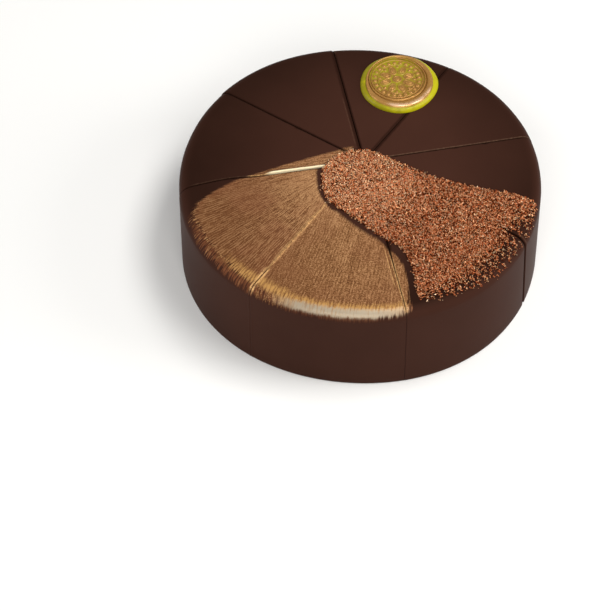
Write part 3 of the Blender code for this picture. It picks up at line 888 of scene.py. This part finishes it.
SEAL_CENTRE = np.array((21.8, 78.6))  # the middle of the stamp; the chocolate lay a little in front of it
SEAL_FACE = 17.0
SEAL_RING = (21.7, ((1, -62, 3.06), (2, -90, 0.92)))  # outer edges, given as the cake's rim is
SEAL_LIP = (24.0, ((1, -65, 2.75), (3, 20, 0.25), (5, 70, 0.2)))
SEAL_LIP_HEIGHT = 2.4
SEAL_RING_HEIGHT = 3.6
SEAL_DISC_HEIGHT = 2.0
SEAL_RELIEF = 0.8
SEAL_GAP = 0.3
EYE_RADIUS = 3.0
PETALS, PETAL_RING, PETAL_SIZE = 8, 7.7, (2.5, 3.7)
LEAF_RING, LEAF_SIZE = 10.6, (0.9, 1.2)
BEADS, BEAD_RING, BEAD_RADIUS = 24, 13.75, 1.3
FINE_CIRCLES = ((11.95, 0.3, 0.55), (15.9, 0.5, 0.9))  # radius, half-width, height as a share of the relief
SEAL_SPOKES = 480
SEAL_FACE_STEP = 0.2
SEAL_RING_STEPS = 24
SEAL_LIP_STEPS = 16
LIME = (paint(145, 137, 8), paint(183, 176, 10))
LIME_RUBBED = paint(154, 143, 28)
GOLD = (paint(127, 84, 34), paint(189, 138, 77))
GOLD_GLINT = paint(246, 204, 168)


def hump(distance, width):
    """A round hump: 1 at its middle, 0 at its width and beyond."""
    return np.sqrt(1 - np.clip(np.abs(distance) / width, 0, 1) ** 2)


def round_ring(radius, angle, count, ring_radius, width, length):
    """Places about the nearest of some ornaments on a ring: how far aside, and how far from its middle."""
    turn = (angle * count / 360) % 1 - 0.5
    aside = np.radians(turn * 360 / count) * radius
    return aside, np.hypot(aside / width, (radius - ring_radius) / length)


def seal_flower(radius, angle):
    """The stamped ornament: an eye, veined petals with leaves between, beads and two fine circles."""
    aside, reach = round_ring(radius, angle, PETALS, PETAL_RING, *PETAL_SIZE)
    petals = hump(reach, 1) * (1 - 0.55 * bell(reach - 0.62, 0.12)) - 0.35 * bell(aside, 0.3) * (reach < 0.55)
    _, reach = round_ring(radius, angle + 180 / PETALS, PETALS, LEAF_RING, *LEAF_SIZE)
    leaves = 0.8 * hump(reach, 1)
    _, reach = round_ring(radius, angle, BEADS, BEAD_RING, BEAD_RADIUS, BEAD_RADIUS)
    beads = hump(reach, 1) * (1 - 0.3 * bell(reach, 0.25))
    eye = hump(radius, EYE_RADIUS) * (1 - 0.6 * bell(radius - 0.6 * EYE_RADIUS, 0.35))
    circles = [height * hump(radius - middle, half) + angle * 0 for middle, half, height in FINE_CIRCLES]
    return np.maximum.reduce([eye + angle * 0, petals, leaves, beads, *circles])


def seal_disc(radius, angle):
    """The height of the stamped disc, and how far it stands up, from 0 to 1."""
    flower = seal_flower(radius, angle)
    return SEAL_DISC_HEIGHT + SEAL_RELIEF * flower, flower


def seal_ring(share, angle):
    """The ring's radius, height and stand, from its inner edge at share 0 to its outer edge at 1: a
    thin bead, a groove, and the chocolate that the stamp squeezed up, rolled over at the front."""
    bead, swell = 0.75 * hump(share - 0.12, 0.12), hump(share - 0.64, 0.36)
    crest = np.maximum(bead, swell)
    base = SEAL_DISC_HEIGHT + (SEAL_LIP_HEIGHT - SEAL_DISC_HEIGHT) * share
    radius = SEAL_FACE + (wavy(SEAL_RING, angle) - SEAL_FACE) * share
    front = (1 + np.cos(np.radians(angle + 80))) / 2
    rolled = 0.45 * bell(share - 0.82, 0.12) * front * (1 + 0.5 * np.sin(np.radians(angle * 11)))
    return radius, base + (SEAL_RING_HEIGHT - base) * crest + rolled, crest + rolled * 0.8


def seal_finish():
    """Lime chocolate, with gold bronze rubbed over all of the stamped face and worn off in its hollows.
    Painted light makes the lime lighter to the right, and painted glints lie on the ring's front.
    """
    finish = Finish("gold_rubbed_lime_chocolate", {"Specular IOR Level": 0.3})
    x, y, _ = finish.place
    raised, rubbed = finish.read("raised", "rubbed")
    smear = finish.lumps(0.16, detail=3.0, roughness=0.6)
    flecks = finish.lumps(2.5)
    worn = raised * 0.9 - 0.20 + (smear - 0.5) * 2.0 + (flecks - 0.5) * 0.6
    rightward = (x - SEAL_CENTRE[0]) * 0.010
    frontward = (y - SEAL_CENTRE[1]) * -0.019 + rightward
    gold_share = rubbed * finish.step(worn + frontward, -0.60, 0.36) * 0.94
    # Painted light: the lime is lighter to the right.
    lime = finish.blend(finish.step(smear + rightward, 0.3, 0.7), *LIME)
    lime = finish.blend(rubbed * 0.8, lime, LIME_RUBBED)
    gold = finish.blend(finish.step(flecks + raised * 0.2, 0.35, 0.8), *GOLD)
    # Painted highlight: pale glints on the front of the ring's crest.
    glint = finish.step(frontward, 0.32, 0.42) * finish.step(flecks * 0.6 + raised, 1.26, 1.42)
    gold = finish.blend(glint * 0.9, gold, GOLD_GLINT)
    relief = finish.lumps(0.9, detail=3.0) * 0.10 + flecks * 0.03
    finish.feed(finish.shader, {
        "Base Color": finish.blend(gold_share, lime, gold),
        "Metallic": gold_share * 0.4,
        "Roughness": 0.34 + flecks * 0.1 - gold_share * 0.06,
        "Normal": finish.bump(relief),
    })
    return finish.material


def make_seal():
    """The seal: rows of vertices from its middle out over the face, the ring and the lip. Each has a
    radius, a height, how far it stands up and how much gold is rubbed on it."""
    angles = 360 * np.arange(SEAL_SPOKES) / SEAL_SPOKES
    edge = wavy(SEAL_RING, angles)
    face_radii = np.arange(SEAL_FACE_STEP, SEAL_FACE, SEAL_FACE_STEP)
    rows = [(radius, *seal_disc(radius, angles), 1) for radius in face_radii]
    for step in range(SEAL_RING_STEPS + 1):
        rows.append((*seal_ring(step / SEAL_RING_STEPS, angles), min(1, (SEAL_RING_STEPS - step) / 2)))
    for step in range(1, SEAL_LIP_STEPS + 1):
        turn = math.pi / 2 * step / SEAL_LIP_STEPS * 1.25
        bulge = math.sin(min(turn, math.pi - turn))
        drop = SEAL_LIP_HEIGHT * 0.5 * (1 + math.cos(turn * 1.6)) - SEAL_GAP * step / SEAL_LIP_STEPS
        rows.append((edge + (wavy(SEAL_LIP, angles) - edge) * bulge, max(-SEAL_GAP, drop), 0, 0))
    radii, heights, raised, rubbed = (
        np.array([np.broadcast_to(row[part], angles.shape) for row in rows]) for part in range(4)
    )
    across = polar(np.broadcast_to(angles, radii.shape), radii)
    heights += 0.06 * ripple(np.concatenate([across * 4, heights[..., None] * 0], -1), seed=9)
    base = CAKE_HEIGHT + SEAL_GAP
    grid = np.concatenate([SEAL_CENTRE + across, base + heights[..., None]], axis=-1).reshape(-1, 3)
    middle = [*SEAL_CENTRE, base + SEAL_DISC_HEIGHT + SEAL_RELIEF]
    rings, spokes = radii.shape
    faces = []
    for spoke in range(spokes):
        beside = (spoke + 1) % spokes
        faces.append((rings * spokes, spoke, beside))
        for ring in range(rings - 1):
            near, far = ring * spokes, (ring + 1) * spokes
            faces.append((near + spoke, far + spoke, far + beside, near + beside))
    faces.append([(rings - 1) * spokes + spoke for spoke in reversed(range(spokes))])
    vertices = np.concatenate([grid, [middle]])
    marks = {"raised": np.append(raised, 1.0), "rubbed": np.append(rubbed, 1.0)}
    seal = new_piece("pressed_seal", vertices, faces, seal_finish(), marks, SHARP_ANGLE)
    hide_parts("chocolate_seal")


make_seal()


# ----------------------------------------------------------------------
# The table it stands on, the studio's lights and the camera. The table is pale and matte. One soft
# box hangs over the cake, a little to the right, a large one stands in front, and two tall ones
# stand at the sides. From here on lengths are in metres.

FLOOR_SIZE = 12.0
TABLE_WHITES = ((0.91, 0.92, 0.93, 1.0), (0.93, 0.94, 0.95, 1.0))
SOFT_BOXES = {  # place, size across and deep, watts
    "box_above": ((0.42, -0.05, 1.22), (0.75, 0.42), 9.4),
    "box_front": ((0.0, -2.2, 1.7), (1.6, 1.0), 30.0),
    "box_left": ((-2.0, -0.1, 0.9), (0.9, 1.4), 12.0),
    "box_right": ((2.0, -0.2, 0.9), (0.9, 1.4), 19.0),
}
SOFT_BOX_COLOUR = (1.0, 0.97, 0.92)
ROOM_LIGHT = 0.28
LENS = 174.0
CAMERA_DISTANCE = 1.8033
CAMERA_ELEVATION = 48.702
CAMERA_ROLL = -1.051
AIM_OFFSET = (57.56, -96.05)  # where the cake's middle shows, in pixels right of and below the image's
FOCAL_PIXELS = 2952.8


def floor_finish():
    """Matte white, in two shades that can hardly be told apart."""
    finish = Finish("pale_table", {"Specular IOR Level": 0.1, "Roughness": 0.9})
    x, y, z = finish.place
    tone = finish.noise(x * 0.004, y * 0.004, z)
    finish.feed(finish.shader, {"Base Color": finish.blend(tone, *TABLE_WHITES)})
    return finish.material


half = FLOOR_SIZE / 2
floor_mesh = bpy.data.meshes.new("table_top")
floor_corners = [(-half, -half, 0), (half, -half, 0), (half, half, 0), (-half, half, 0)]
floor_mesh.from_pydata(floor_corners, [], [(0, 1, 2, 3)])
floor_mesh.materials.append(floor_finish())
floor = new_object("table_top", floor_mesh)

for name, (place, (across, deep), watts) in SOFT_BOXES.items():
    light = bpy.data.lights.new(name, "AREA")
    light.shape = "RECTANGLE"
    light.size, light.size_y, light.energy = across, deep, watts
    light.color = SOFT_BOX_COLOUR
    box = new_object(name, light)
    box.location = place
    box.rotation_euler = (Vector((0, 0, 0.04)) - Vector(place)).to_track_quat("-Z", "Y").to_euler()

world = bpy.data.worlds.new("studio_room")
world.use_nodes = True
background = world.node_tree.nodes["Background"]
background.inputs["Color"].default_value = (1.0, 1.0, 1.0, 1.0)
background.inputs["Strength"].default_value = ROOM_LIGHT
bpy.context.scene.world = world
bpy.context.scene.view_settings.view_transform = "Standard"

tilt = math.radians(CAMERA_ELEVATION)
height = CAKE_HEIGHT / 2 * MM + math.sin(tilt) * CAMERA_DISTANCE
sideways, downward = (math.atan(offset / FOCAL_PIXELS) for offset in AIM_OFFSET)
facing = Matrix.Rotation(math.pi / 2 - tilt, 3, "X")
for turn, axis in ((sideways, "Y"), (downward, "X"), (-math.radians(CAMERA_ROLL), "Z")):
    facing = facing @ Matrix.Rotation(turn, 3, axis)
camera_data = bpy.data.cameras.new("studio_camera")
camera_data.lens = LENS
camera = new_object("studio_camera", camera_data)
camera.location = (0, -math.cos(tilt) * CAMERA_DISTANCE, height)
camera.rotation_euler = facing.to_euler()
bpy.context.scene.camera = camera
